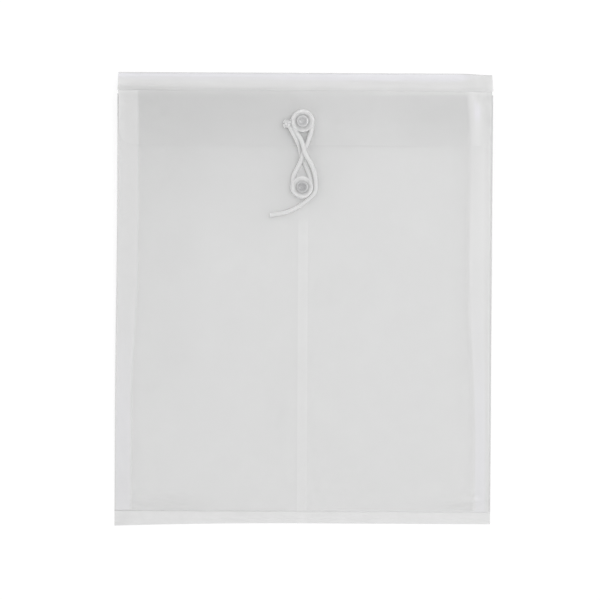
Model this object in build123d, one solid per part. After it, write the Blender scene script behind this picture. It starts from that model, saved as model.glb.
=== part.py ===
from build123d import *
import math
import os

# A string tie envelope of clear film, lying on its back.
# Millimetres. X runs to the right, Y towards the top fold, Z out of the front.
# The origin is the middle of the back, on the surface that the envelope lies on.

# Film tube: lapped down the back, pleated at both sides, welded shut along the bottom
width = 247.65
height = 298.45
film = 0.2
layer_gap = 0.1
seam_lap = 6.0
seam_offset = -0.8
seam_step = 1.0
weld_height = 8.6
gusset_depth = 12.7
mouth_setback = 14.6
mouth_height = 8.0

# Folds: each is a rolled bead on its hinge line, and the film beside it stops just short
fold_bead = 0.3
fold_gap = 0.1

# Flap: a spine that spans the thickness of the filled pocket, then the flap itself
spine_length = 15.0
flap_length = 35.6
flap_inset = 1.0
flap_corner = 10.0
flap_clearance = 0.4

# Tie buttons: a spool with a flange, a rivet through it, and a washer behind the film
upper_button_drop = 32.5
button_spacing = 43.1
button_offset = -1.5
hub_radius = 4.8
flange_radius = 7.2
flange_thickness = 0.8
flange_edge = 0.3
shank_radius = 1.55
head_radius = 3.8
head_height = 0.8
head_round = 0.5
dimple_radius = 1.9
dimple_depth = 0.35
tail_radius = 2.8
tail_height = 0.4
washer_radius = 4.5
washer_thickness = 0.4
running_clearance = 0.05
hole_clearance = 0.1

# String: limp cord, with a flattened loop tied under the figure eight
string_diameter = 2.4
string_clearance = 0.3
strand_gap = 0.6
rest_gap = 0.15
loop_thickness = 1.0
loop_width = 2.1
loop_round = 0.3
knot_radius = 2.0
knot_flat = 1.3
knot_angle = 191.0
cut_end_length = 3.2
cut_end_angles = (145.0, 207.0)
turn_corners = 8
outer_corners = 3
tail_heading = 221.0
bend_share = 0.45
measure_step = 0.4
tail_points = ((-1.9, -12.9), (-9.4, -16.4), (-15.6, -17.9), (-21.2, -18.5))

# Heights of the stack of films at the weld, and the hinge line of the front panel on top of it
back_top = film
hinge_y = -height / 2 + weld_height + fold_gap + fold_bead
hinge_z = 3.5 * film + 3 * layer_gap
weld_top = hinge_z + film / 2
weld_edge = -height / 2 + weld_height

# Slope of the front panel, from the weld up to the mouth
mouth_y = height / 2 - mouth_setback
slope = math.atan2(mouth_height - hinge_z, mouth_y - hinge_y)
front_length = (mouth_y - hinge_y) / math.cos(slope)
outward = (0, -math.sin(slope), math.cos(slope))

# Spine: it leans from the top fold to the score, which lies on the flap's plane above the front panel
under_flap = washer_thickness + tail_height + flap_clearance
flap_rise = film + under_flap
fold_y = height / 2 - fold_bead
fold_z = back_top + layer_gap + fold_bead
spine_reach = (
    flap_rise
    + (fold_y - hinge_y) * math.sin(slope)
    - (fold_z - hinge_z) * math.cos(slope)
)
spine_lean = math.asin(spine_reach / spine_length) - slope
score_y = fold_y - spine_length * math.cos(spine_lean)
score_z = fold_z + spine_length * math.sin(spine_lean)

# Buttons
upper_y = height / 2 - upper_button_drop
lower_y = upper_y - button_spacing
hub_lift = running_clearance
string_radius = string_diameter / 2
loop_bottom = rest_gap
turn_lift = loop_bottom + loop_thickness + strand_gap + string_radius
lower_turn_lift = string_radius + 2 * string_clearance
flange_lift = turn_lift + string_radius + string_clearance
head_lift = flange_lift + flange_thickness + running_clearance
hole_radius = shank_radius + hole_clearance
turn_radius = hub_radius + string_clearance + string_radius
spool_edge = max(flange_radius, turn_radius + string_radius)
outer_radius = spool_edge + strand_gap + string_radius

front_plane = Plane(origin=(0, hinge_y, hinge_z), x_dir=(1, 0, 0), z_dir=outward)
flap_plane = Plane(origin=(0, score_y, score_z), x_dir=(1, 0, 0), z_dir=outward)


def front_surface(y):
    """Height of the front panel's outer face at a place along Y."""
    return hinge_z + (y - hinge_y) * math.tan(slope) + film / 2 / math.cos(slope)


def flap_surface(y):
    """Height of the flap's outer face at a place along Y."""
    return score_z + (y - score_y) * math.tan(slope) + film / 2 / math.cos(slope)


upper_seat = Plane(
    origin=(button_offset, upper_y, flap_surface(upper_y)), x_dir=(1, 0, 0), z_dir=outward
)
lower_seat = Plane(
    origin=(button_offset, lower_y, front_surface(lower_y)), x_dir=(1, 0, 0), z_dir=outward
)


def block(x0, x1, y0, y1, z0, z1):
    """Box between two corners."""
    box = Box(x1 - x0, y1 - y0, z1 - z0)
    return Pos((x0 + x1) / 2, (y0 + y1) / 2, (z0 + z1) / 2) * box


def disc(radius, z0, z1):
    """Cylinder on the local Z axis between two heights."""
    return Pos(0, 0, (z0 + z1) / 2) * Cylinder(radius, z1 - z0)


def bead(length):
    """Rolled bead of a fold, along X."""
    return Rot(0, 90, 0) * Cylinder(fold_bead, length)


def rivet_hole(seat):
    """Cutter for the hole in the film under a button."""
    return seat * disc(hole_radius, -2 * film, film)


def back_panel_left():
    """Left half of the back, under the lap of the seam."""
    return block(-width / 2, seam_offset + seam_lap / 2, -height / 2, height / 2, 0, film)


def back_panel_right():
    """Right half of the back, with the tongue that laps over the left half inside the pocket."""
    lap_edge = seam_offset + seam_lap / 2
    flat = block(lap_edge + layer_gap, width / 2, -height / 2, height / 2, 0, film)
    tongue = block(
        seam_offset - seam_lap / 2,
        lap_edge + layer_gap + seam_step,
        weld_edge + layer_gap,
        fold_y - fold_bead - layer_gap,
        film,
        2 * film,
    )
    return flat + tongue


def bottom_weld():
    """Strip where the films of the tube are fused, on top of the back film."""
    return block(-width / 2, width / 2, -height / 2, weld_edge, film, weld_top)


def front_panel():
    """Front film, with its bead on the weld and the hole for the lower rivet."""
    sheet = Box(width, front_length, film, align=(Align.CENTER, Align.MIN, Align.CENTER))
    panel = front_plane * (sheet + bead(width))
    return panel - rivet_hole(lower_seat)


def gusset_corners(y, side, is_front):
    """Corners of one half of a side pleat: a strip from the envelope's edge to the inner fold."""
    low = back_top + layer_gap
    high = front_surface(y) - (film / math.cos(slope)) - layer_gap
    middle = (low + high) / 2
    lean = math.asin((middle - low) / gusset_depth)
    thick = film / math.cos(lean)
    edge = side * width / 2
    inner = side * (width / 2 - gusset_depth * math.cos(lean))
    fold = middle - layer_gap / 2 - thick
    start = low
    if is_front:
        fold = middle + layer_gap / 2
        start = high - thick
    return [(edge, y, start), (inner, y, fold), (inner, y, fold + thick), (edge, y, start + thick)]


def gusset_half(side, is_front):
    """Half of a side pleat: it lies flat at the weld and spreads towards the mouth."""
    bottom_y = hinge_y + fold_bead + layer_gap
    bottom = gusset_corners(bottom_y, side, is_front)
    top = gusset_corners(mouth_y, side, is_front)
    faces = [make_face(Polyline(*corners, close=True)).face() for corners in (bottom, top)]
    for here in range(len(bottom)):
        bottom_edge = Edge.make_line(bottom[here - 1], bottom[here])
        top_edge = Edge.make_line(top[here - 1], top[here])
        faces.append(Face.make_surface_from_curves(bottom_edge, top_edge))
    return Solid(Shell(faces))


def flap_spine():
    """Strip from the top fold, with its bead, up to the score."""
    plane = Plane(
        origin=(0, fold_y, fold_z),
        x_dir=(1, 0, 0),
        z_dir=(0, -math.sin(spine_lean), -math.cos(spine_lean)),
    )
    reach = spine_length - fold_bead - fold_gap
    sheet = Box(width, reach, film, align=(Align.CENTER, Align.MIN, Align.CENTER))
    return plane * (sheet + bead(width))


def flap_panel():
    """Flap with its bead on the score, round free corners and the hole for the upper rivet."""
    flap_width = width - 2 * flap_inset
    outline = Rectangle(flap_width, flap_length, align=(Align.CENTER, Align.MAX))
    free_corners = outline.vertices().group_by(Axis.Y)[0]
    outline = fillet(free_corners, flap_corner)
    sheet = Pos(0, 0, -film / 2) * extrude(outline, film)
    panel = flap_plane * (sheet + bead(flap_width))
    return panel - rivet_hole(upper_seat)


def button(seat):
    """Spool: a hub that the string winds on and a flange that keeps it there."""
    spool = disc(hub_radius, hub_lift, flange_lift)
    flange = disc(flange_radius, flange_lift, flange_lift + flange_thickness)
    flange = fillet(flange.edges().filter_by(GeomType.CIRCLE), flange_edge)
    bore = disc(shank_radius + running_clearance, 0, head_lift)
    return seat * (spool + flange - bore)


def rivet(seat):
    """Rivet with a dimpled round head over the flange and a tail clinched on the washer."""
    tail_lift = -film - washer_thickness
    head = disc(head_radius, head_lift, head_lift + head_height)
    head = fillet(head.edges().group_by(Axis.Z)[-1], head_round)
    dimple = disc(dimple_radius, head_lift + head_height - dimple_depth, head_lift + head_height)
    shank = disc(shank_radius, tail_lift, head_lift)
    tail = disc(tail_radius, tail_lift - tail_height, tail_lift)
    return seat * (head - dimple + shank + tail)


def backing_washer(seat):
    """Washer between the film and the rivet's tail."""
    ring = disc(washer_radius, -film - washer_thickness, -film)
    return seat * (ring - disc(hole_radius, -film - washer_thickness, 0))


def turned(x, y, degrees):
    """Point of the plan turned about the origin."""
    angle = math.radians(degrees)
    return (x * math.cos(angle) - y * math.sin(angle), x * math.sin(angle) + y * math.cos(angle))


def turn_points(centre_y, radius, start, sweep, corners, surface, lift):
    """Corners of the polygon round a turn of the string: the arcs between them are the turn."""
    step = sweep / corners
    reach = radius / math.cos(math.radians(step / 2))
    points = []
    for corner in range(corners):
        x, y = turned(reach, 0, start + step * (corner + 0.5))
        points.append((button_offset + x, centre_y + y, surface(centre_y + y) + lift))
    return points


def strand_points(start, end, stations):
    """Points of a straight strand in plan, each at a place along Y with its own height."""
    points = []
    for y, z in stations:
        share = (y - start[1]) / (end[1] - start[1])
        points.append((start[0] + share * (end[0] - start[0]), y, z))
    return points


def tangent_point(centre_y, radius, degrees):
    """Point of a turn's circle in plan."""
    x, y = turned(radius, 0, degrees)
    return (button_offset + x, centre_y + y)


# Where the strands leave the turns: each slants from one side of a button to the other side of the next
knot_reach = spool_edge + rest_gap + knot_radius
knot_place = turned(knot_reach, 0, knot_angle)
knot_y = upper_y + knot_place[1]
knot_centre = (button_offset + knot_place[0], knot_y, flap_surface(knot_y) + rest_gap + knot_radius)
knot_span = math.hypot(knot_place[0], knot_y - lower_y)
knot_slant = math.atan2(-knot_place[0], knot_y - lower_y)
first_slant = math.degrees(knot_slant + math.asin(turn_radius / knot_span))
middle_slant = math.degrees(math.asin(2 * turn_radius / button_spacing))
last_slant = math.degrees(math.asin((turn_radius + outer_radius) / button_spacing))


def winding_route():
    """Figure eight: from the knot round the lower hub, up round the upper hub and down past the lower flange."""
    crossing_y = (upper_y + lower_y) / 2
    flap_edge_y = score_y - flap_length * math.cos(slope)
    over_edge = flap_surface(flap_edge_y) + string_radius + string_clearance
    near = flange_radius + string_diameter
    low = front_surface(crossing_y) + string_radius + string_clearance
    above = low + string_diameter + strand_gap
    top = above + string_diameter + 2 * strand_gap + string_clearance
    lower_turn = front_surface(lower_y) + lower_turn_lift
    upper_turn = flap_surface(upper_y) + turn_lift

    # The first strand leaves the knot, clears the flap's edge and drops to the lower hub
    hub_in = tangent_point(lower_y, turn_radius, first_slant)
    first_strand = strand_points(
        knot_centre,
        hub_in,
        [
            (flap_edge_y + string_diameter, over_edge + string_clearance),
            (crossing_y - string_diameter, low),
            (lower_y + near, lower_turn + string_clearance),
        ],
    )
    way = Vector(*first_strand[0]) - Vector(*knot_centre)
    route = [tuple(Vector(*knot_centre) + way.normalized() * knot_flat)] + first_strand
    sweep = 180 + first_slant + middle_slant
    route += turn_points(
        lower_y, turn_radius, first_slant, -sweep, turn_corners, front_surface, lower_turn_lift
    )

    # The second strand rises over the first and goes round the upper hub
    hub_out = tangent_point(lower_y, turn_radius, 180 - middle_slant)
    upper_in = tangent_point(upper_y, turn_radius, -middle_slant)
    route += strand_points(
        hub_out,
        upper_in,
        [
            (lower_y + near, lower_turn + string_clearance),
            (crossing_y - 2 * string_diameter, above),
            (crossing_y + 2 * string_diameter, above + strand_gap),
            (upper_y - near, upper_turn),
        ],
    )
    sweep = 180 + middle_slant + last_slant
    route += turn_points(
        upper_y, turn_radius, -middle_slant, sweep, turn_corners, flap_surface, turn_lift
    )

    # The third strand passes over both and comes down beside the lower flange
    upper_out = tangent_point(upper_y, turn_radius, 180 + last_slant)
    outer_in = tangent_point(lower_y, outer_radius, last_slant)
    lying = string_radius + rest_gap
    route += strand_points(
        upper_out,
        outer_in,
        [
            (upper_y - near, upper_turn + string_clearance),
            (crossing_y + 2.5 * string_diameter, top),
            (crossing_y - string_diameter, top - strand_gap),
            (lower_y + near, front_surface(lower_y) + lying + string_radius),
        ],
    )
    sweep = last_slant + 270 - tail_heading
    route += turn_points(
        lower_y, outer_radius, last_slant, -sweep, outer_corners, front_surface, lying
    )
    return route


def tail_route():
    """Loose end, lying on the front panel."""
    lying = string_radius + rest_gap
    route = []
    for x, y in tail_points:
        place_y = lower_y + y
        route.append((button_offset + x, place_y, front_surface(place_y) + lying))
    return route


def bend_radii(route):
    """Radius of each bend: as large as the two runs beside it allow."""
    radii = []
    for before, here, after in zip(route, route[1:], route[2:]):
        run_in = Vector(*here) - Vector(*before)
        run_out = Vector(*after) - Vector(*here)
        half_turn = math.radians(run_in.get_angle(run_out)) / 2
        shorter = min(run_in.length, run_out.length)
        radii.append(bend_share * shorter / math.tan(half_turn))
    return radii


def string_path(route):
    """Straight runs joined by tangent arcs."""
    return FilletPolyline(*route, radius=bend_radii(route))


def string_tube(path):
    """Round cord along a path."""
    section = Plane(origin=path @ 0, z_dir=path % 0) * Circle(string_radius)
    return sweep(section, path)


def string_knot(strand_start):
    """Flat loop round the upper hub, drawn together in a knot with two cut ends."""
    loop_radius = hub_radius + string_clearance + loop_width / 2
    inner = loop_radius - loop_width / 2
    outer = loop_radius + loop_width / 2
    place = Pos(*knot_place)
    outline = make_hull((Circle(outer) + place * Circle(knot_radius)).edges())
    opening = make_hull((Circle(inner) + place * Circle(loop_round)).edges())
    loop = Pos(0, 0, loop_bottom) * extrude(outline - opening, loop_thickness)
    loop = fillet(loop.edges().group_by(Axis.Z)[-1], loop_round)
    knot = upper_seat * loop
    knot += Pos(*knot_centre) * Sphere(knot_radius)
    for angle in cut_end_angles:
        end = Plane(origin=knot_centre, z_dir=(*turned(1, 0, angle), 0))
        knot += end * disc(string_radius, 0, cut_end_length)
    facing = Plane(origin=knot_centre, z_dir=Vector(*strand_start) - Vector(*knot_centre))
    knot -= facing * disc(2 * knot_radius, knot_flat, 2 * knot_radius)
    return knot - facing * disc(string_radius + string_clearance, knot_flat, knot_reach)


def least_gap(path):
    """Least gap of the string to itself, measured between points that lie well apart along it."""
    count = int(path.length / measure_step)
    step = path.length / count
    apart = int(4 * string_diameter / step)
    points = [path @ (index / count) for index in range(count + 1)]
    least = path.length
    for index, point in enumerate(points):
        for other in points[index + apart :]:
            least = min(least, (point - other).length)
    return least - string_diameter


winding = winding_route()
tail = tail_route()
join = tuple((a + b) / 2 for a, b in zip(winding[-1], tail[0]))
winding_path = string_path(winding + [join])
tail_path = string_path([join] + tail)

nodes = {
    "back_panel_left": back_panel_left(),
    "back_panel_right": back_panel_right(),
    "bottom_weld": bottom_weld(),
    "front_panel": front_panel(),
    "left_gusset_back": gusset_half(-1, False),
    "left_gusset_front": gusset_half(-1, True),
    "right_gusset_back": gusset_half(1, False),
    "right_gusset_front": gusset_half(1, True),
    "flap_spine": flap_spine(),
    "flap_panel": flap_panel(),
    "upper_button": button(upper_seat),
    "upper_rivet": rivet(upper_seat),
    "upper_backing_washer": backing_washer(upper_seat),
    "lower_button": button(lower_seat),
    "lower_rivet": rivet(lower_seat),
    "lower_backing_washer": backing_washer(lower_seat),
    "string_knot": string_knot(winding[0]),
    "string_winding": string_tube(winding_path),
    "string_tail": string_tube(tail_path),
}

os.makedirs("parts", exist_ok=True)
for name, solid in nodes.items():
    export_step(solid, f"parts/{name}.step")

for name, path in (("string_winding", winding_path), ("string_tail", tail_path)):
    expected = math.pi * string_radius**2 * path.length
    print(name, "length", round(path.length, 1), "volume share", round(nodes[name].volume / expected, 4))
print("winding radii", [round(radius, 1) for radius in bend_radii(winding + [join])])
print("tail radii", [round(radius, 1) for radius in bend_radii([join] + tail)])
print("least gap of the winding to itself", round(least_gap(winding_path), 2))
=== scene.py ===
import bpy
import math
from mathutils import Matrix, Vector, noise


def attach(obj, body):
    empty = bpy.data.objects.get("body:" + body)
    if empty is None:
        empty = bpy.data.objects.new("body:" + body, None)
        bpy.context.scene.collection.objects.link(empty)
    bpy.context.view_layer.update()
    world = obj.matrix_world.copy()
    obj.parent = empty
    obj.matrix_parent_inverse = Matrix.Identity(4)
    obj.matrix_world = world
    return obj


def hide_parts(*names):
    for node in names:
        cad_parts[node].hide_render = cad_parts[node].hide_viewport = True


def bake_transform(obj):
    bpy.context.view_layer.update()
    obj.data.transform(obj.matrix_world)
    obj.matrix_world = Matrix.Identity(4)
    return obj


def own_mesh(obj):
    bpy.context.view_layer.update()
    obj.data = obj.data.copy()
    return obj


# A string tie envelope of clear frosted film, lying on its back.
# Metres. X runs to the right, Y towards the top fold, Z out of the front.

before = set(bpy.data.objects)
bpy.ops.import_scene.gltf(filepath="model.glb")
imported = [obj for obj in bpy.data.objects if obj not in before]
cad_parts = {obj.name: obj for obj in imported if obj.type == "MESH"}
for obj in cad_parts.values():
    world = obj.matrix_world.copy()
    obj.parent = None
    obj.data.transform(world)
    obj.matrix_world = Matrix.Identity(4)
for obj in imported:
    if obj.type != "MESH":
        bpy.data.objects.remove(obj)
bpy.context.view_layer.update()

mm = 0.001

# Film tube
width = 247.65 * mm
height = 298.45 * mm
film = 0.2 * mm
layer_gap = 0.1 * mm
seam_lap = 6.0 * mm
seam_offset = -0.8 * mm
seam_step = 1.0 * mm
seam_margin = 0.06
weld_height = 8.6 * mm
mouth_setback = 14.6 * mm
mouth_height = 8.0 * mm
fold_bead = 0.3 * mm
fold_gap = 0.1 * mm
bead_sides = 14
back_proud = 0.25 * mm

# How far the outline of the film runs off true
bottom_draw = 1.0 * mm
bottom_corner_drop = 2.2 * mm
top_rise = 0.08 * mm
top_droop = 0.78 * mm
lean_in = 0.33 * mm
lean_swing = 1.0 * mm

# Side pleats: the bands where they back the film, what those gain towards the mouth, and their soft edges
left_band = 10.8 * mm
left_band_gain = 3.3 * mm
left_fade = 2.6 * mm
right_band = 11.3 * mm
right_band_gain = 4.2 * mm
right_mouth_gain = 1.6 * mm
right_fade = 3.6 * mm
pleat_tuck = 0.3 * mm
pleat_shares = (0.0, 0.05, 0.15, 0.3, 0.5, 0.7, 0.85, 0.93)

# Press lines of the weld, as shares of its height, and the thickness left free for its swell
press_lines = (0.36, 0.74)
press_reach = 0.05
press_depth = 0.06 * mm
weld_play = 0.3 * mm

# Whitening of the film from 0 to 1, and how clear it is pressed where layers lie close
plain_frost = 0.5
lap_frost = 0.56
lap_clear = 0.55
pleat_frost = 0.52
pleat_clear = 0.85
top_bead_frost = 0.7
# Reach of the painted light round the tie, which lessens the shadows of the string and buttons
tie_light_reach = 5.5 * mm
tie_light_gain = 3.5 * mm
tie_light_fade = 2.5 * mm

# Flap
spine_length = 15.0 * mm
flap_length = 35.6 * mm
flap_inset = 1.0 * mm
flap_corner = 10.0 * mm
flap_clearance = 0.4 * mm

# Tie buttons
upper_button_drop = 32.5 * mm
button_spacing = 43.1 * mm
button_offset = -1.5 * mm
hub_radius = 4.8 * mm
flange_radius = 7.2 * mm
flange_thickness = 0.8 * mm
flange_edge = 0.3 * mm
shank_radius = 1.55 * mm
head_radius = 3.8 * mm
head_height = 0.8 * mm
head_round = 0.5 * mm
dimple_radius = 1.9 * mm
dimple_depth = 0.35 * mm
# Painted shine of the rivets: brighter at the rim, and brighter on the upper rivet than the lower
rim_painted_shine = 0.55
upper_painted_shine = 0.35
lower_painted_shine = 0.1
tail_radius = 2.8 * mm
tail_height = 0.4 * mm
washer_thickness = 0.4 * mm
running_clearance = 0.05 * mm
button_segments = 72
rivet_segments = 64

# String
string_diameter = 2.4 * mm
string_clearance = 0.3 * mm
strand_gap = 0.6 * mm
rest_gap = 0.15 * mm
loop_thickness = 1.0 * mm
loop_width = 2.1 * mm
knot_radius = 2.0 * mm
knot_flat = 1.3 * mm
knot_angle = 191.0
knot_cord = 0.46 * knot_radius
knot_tuck = 0.3 * knot_radius
cut_end_length = 3.2 * mm
cut_end_angles = (145.0, 207.0)
cut_end_waist = 0.78
turn_corners = 8
outer_corners = 3
outer_press = 0.45 * mm
outer_lift = 2.6 * mm
tail_heading = 221.0
tail_points = ((-1.9, -12.9), (-9.4, -16.4), (-15.6, -17.9), (-21.2, -18.5))
parting_margin = 1.0 * mm
ply_pitch = 5.0 * mm
ply_depth = 0.12
cord_flatness = 0.2
cord_sides = 18
knot_sides = 14
line_step = 0.3 * mm

# Strands between the buttons. Each point is its place across and along from the middle
# between the buttons, and its height over the front film, in mm.
first_strand = (
    (-7.2, 15.3, 4.0), (-5.1, 11.7, 4.0), (-3.4, 8.4, 3.7), (-1.8, 4.5, 2.8), (-1.1, 1.2, 1.9),
    (-0.3, -2.5, 1.4), (1.3, -5.7, 1.4), (3.0, -9.3, 1.5), (4.4, -12.9, 1.8),
)
second_strand = (
    (-6.1, -15.2, 1.9), (-4.8, -11.9, 2.3), (-2.7, -8.0, 3.0), (-1.3, -5.0, 3.7), (-0.1, -1.7, 4.0),
    (0.8, 1.5, 4.0), (1.9, 4.5, 4.0), (3.6, 8.1, 4.2), (4.7, 11.7, 4.3), (5.7, 15.0, 4.3),
)
third_strand = (
    (-4.4, 15.0, 4.5), (-2.1, 11.4, 5.0), (-0.4, 8.1, 5.6), (0.7, 4.5, 6.3), (1.4, 1.2, 6.5),
    (2.5, -1.4, 6.2), (4.3, -4.0, 5.3), (6.5, -8.0, 4.2), (8.0, -11.9, 3.4), (8.6, -15.8, 2.9),
)

# Camera, floor and light
camera_distance = 1.6
camera_offset = (-2.6 * mm, -0.7 * mm)
camera_turn = 0.3
view_width = 396.8 * mm
floor_half = 3.0
floor_level = -0.15 * mm
floor_glow = 0.82
room_strength = 0.86
lamp_place = (0.6, 0.25, 1.3)
lamp_size = 0.5
lamp_power = 3.5

# Levels of the film stack, and the slopes of the front panel, the spine and the flap
seam_left = seam_offset - seam_lap / 2
seam_right = seam_offset + seam_lap / 2
back_top = film
hinge_y = -height / 2 + weld_height + fold_gap + fold_bead
hinge_z = 3.5 * film + 3 * layer_gap
weld_top = hinge_z + film / 2
weld_edge = -height / 2 + weld_height
mouth_y = height / 2 - mouth_setback
slope = math.atan2(mouth_height - hinge_z, mouth_y - hinge_y)
outward = Vector((0, -math.sin(slope), math.cos(slope)))
under_flap = washer_thickness + tail_height + flap_clearance
flap_rise = film + under_flap
fold_y = height / 2 - fold_bead
fold_z = back_top + layer_gap + fold_bead
spine_reach = (
    flap_rise + (fold_y - hinge_y) * math.sin(slope) - (fold_z - hinge_z) * math.cos(slope)
)
spine_lean = math.asin(spine_reach / spine_length) - slope
score_y = fold_y - spine_length * math.cos(spine_lean)
score_z = fold_z + spine_length * math.sin(spine_lean)
flap_edge_y = score_y - flap_length * math.cos(slope)

# Levels of the buttons and the string
upper_y = height / 2 - upper_button_drop
lower_y = upper_y - button_spacing
string_radius = string_diameter / 2
loop_bottom = rest_gap
turn_lift = loop_bottom + loop_thickness + strand_gap + string_radius
lower_turn_lift = string_radius + 2 * string_clearance
flange_lift = turn_lift + string_radius + string_clearance
flange_top = flange_lift + flange_thickness
head_lift = flange_top + running_clearance
turn_radius = hub_radius + string_clearance + string_radius
spool_edge = max(flange_radius, turn_radius + string_radius)
outer_radius = spool_edge + strand_gap + string_radius
cut_end_droop = 0.35 * string_radius
parting_y = flap_edge_y - parting_margin


def front_surface(y):
    """Height of the front panel's outer face at a place along Y."""
    return hinge_z + (y - hinge_y) * math.tan(slope) + film / 2 / math.cos(slope)


def flap_surface(y):
    """Height of the flap's outer face at a place along Y."""
    return score_z + (y - score_y) * math.tan(slope) + film / 2 / math.cos(slope)


# Camera, straight above the envelope

def add_camera():
    """Camera above the middle of the picture, turned a little as the photographed envelope is."""
    data = bpy.data.cameras.new("camera")
    data.sensor_width = 36
    data.lens = data.sensor_width * camera_distance / view_width
    camera = bpy.data.objects.new("camera", data)
    camera.location = (*camera_offset, camera_distance)
    camera.rotation_euler = (0, 0, math.radians(camera_turn))
    bpy.context.collection.objects.link(camera)
    bpy.context.scene.camera = camera


# Shapes: lists of points and faces

def new_shape():
    """Empty shape; each point carries its frost with painted light and shade, or on metal its painted
    shine, and how clear it is pressed.
    """
    return {"points": [], "faces": [], "frost_and_painted_light": [], "clear": []}


def add_tube(shape, path, up, section, sides, frost_and_painted_light=lambda point: plain_frost):
    """Closed tube along a path; section gives its radius at a distance along it and an angle round it."""
    start = len(shape["points"])
    travelled = 0.0
    normal = Vector(up)
    for index, point in enumerate(path):
        before = path[max(index - 1, 0)]
        after = path[min(index + 1, len(path) - 1)]
        way = (after - before).normalized()
        normal = (normal - way * normal.dot(way)).normalized()
        side = way.cross(normal)
        travelled += (point - before).length
        for step in range(sides):
            angle = 2 * math.pi * step / sides
            spoke = normal * math.cos(angle) + side * math.sin(angle)
            shape["points"].append(point + spoke * section(travelled, angle))
            shape["frost_and_painted_light"].append(frost_and_painted_light(point))
            shape["clear"].append(0.0)
    for ring in range(len(path) - 1):
        here = start + ring * sides
        for step in range(sides):
            after = (step + 1) % sides
            shape["faces"].append((here + step, here + after, here + sides + after, here + sides + step))
    last = start + (len(path) - 1) * sides
    shape["faces"].append(tuple(start + step for step in reversed(range(sides))))
    shape["faces"].append(tuple(last + step for step in range(sides)))


def new_sheet(grid, thickness):
    """Closed thin film from rows of places on its middle: each is a point, its frost with painted light and
    shade, and its clearness.
    """
    shape = new_shape()
    rows = len(grid)
    columns = len(grid[0])
    normals = []
    for row in range(rows):
        for column in range(columns):
            across = grid[row][min(column + 1, columns - 1)][0] - grid[row][max(column - 1, 0)][0]
            along = grid[min(row + 1, rows - 1)][column][0] - grid[max(row - 1, 0)][column][0]
            normals.append(across.cross(along).normalized())
    for side in (0.5, -0.5):
        for row in range(rows):
            for column in range(columns):
                point, frost_and_painted_light, clear = grid[row][column]
                shape["points"].append(leaned(point) + normals[row * columns + column] * thickness * side)
                shape["frost_and_painted_light"].append(frost_and_painted_light)
                shape["clear"].append(clear)
    under = rows * columns
    for row in range(rows - 1):
        for column in range(columns - 1):
            a = row * columns + column
            b = a + columns
            shape["faces"].append((a, a + 1, b + 1, b))
            shape["faces"].append((b + under, b + 1 + under, a + 1 + under, a + under))
    rim = list(range(columns))
    rim += [row * columns + columns - 1 for row in range(1, rows)]
    rim += [(rows - 1) * columns + column for column in reversed(range(columns - 1))]
    rim += [row * columns for row in reversed(range(1, rows - 1))]
    for here, after in zip(rim, rim[1:] + rim[:1]):
        shape["faces"].append((here, here + under, after + under, after))
    return shape


def new_lathe(profile, segments, shine=lambda radius: plain_frost):
    """Turned ring from a closed profile of radii and heights; shine gives how bright it is at a radius."""
    shape = new_shape()
    for radius, level in profile:
        for step in range(segments):
            angle = 2 * math.pi * step / segments
            shape["points"].append(Vector((radius * math.cos(angle), radius * math.sin(angle), level)))
            shape["frost_and_painted_light"].append(shine(radius))
            shape["clear"].append(0.0)
    count = len(profile)
    for here in range(count):
        after = (here + 1) % count
        a = here * segments
        b = after * segments
        for step in range(segments):
            turn = (step + 1) % segments
            shape["faces"].append((a + step, a + turn, b + turn, b + step))
    return shape


def make_piece(name, shape, material, body, nodes, sharp=35):
    """Mesh object from a shape, in place of CAD nodes; it rides on a body where one is given."""
    mesh = bpy.data.meshes.new(name)
    mesh.from_pydata([tuple(point) for point in shape["points"]], [], shape["faces"])
    mesh.validate()
    for label in ("frost_and_painted_light", "clear"):
        attribute = mesh.attributes.new(label, "FLOAT", "POINT")
        attribute.data.foreach_set("value", shape[label])
    mesh.shade_smooth()
    mesh.set_sharp_from_angle(angle=math.radians(sharp))
    mesh.materials.append(material)
    piece = bpy.data.objects.new(name, mesh)
    bpy.context.collection.objects.link(piece)
    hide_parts(*nodes)
    if body:
        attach(piece, body)
    return piece


def spread(start, end, count):
    """Evenly spaced values from start to end."""
    return [start + (end - start) * index / (count - 1) for index in range(count)]


def ease(value, start, end):
    """Smooth step from 0 at start to 1 at end."""
    share = min(max((value - start) / (end - start), 0.0), 1.0)
    return share * share * (3 - 2 * share)


def bell(value, middle, reach):
    """Smooth bump: 1 at the middle, falling away on both sides."""
    return math.exp(-(((value - middle) / reach) ** 2))


def wave(x, y, size, seed):
    """Gentle uneven swell between -1 and 1."""
    return noise.noise(Vector((x / size, y / size, seed)))


# String: its turns on the hubs and its tail are the part's, its strands and its outer turn are given here

def turned(x, y, degrees):
    """Point of the plan turned about the origin."""
    angle = math.radians(degrees)
    return (x * math.cos(angle) - y * math.sin(angle), x * math.sin(angle) + y * math.cos(angle))


def turn_points(centre_y, radius, start, sweep, corners, surface, lift):
    """Corners of the polygon round a turn of the string."""
    step = sweep / corners
    reach = radius / math.cos(math.radians(step / 2))
    points = []
    for corner in range(corners):
        x, y = turned(reach, 0, start + step * (corner + 0.5))
        points.append((button_offset + x, centre_y + y, surface(centre_y + y) + lift))
    return points


def strand_points(places):
    """Points of a strand between the buttons."""
    points = []
    for across, along, lift in places:
        y = (upper_y + lower_y) / 2 + along * mm
        points.append((button_offset + across * mm, y, front_surface(y) + lift * mm))
    return points


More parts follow.
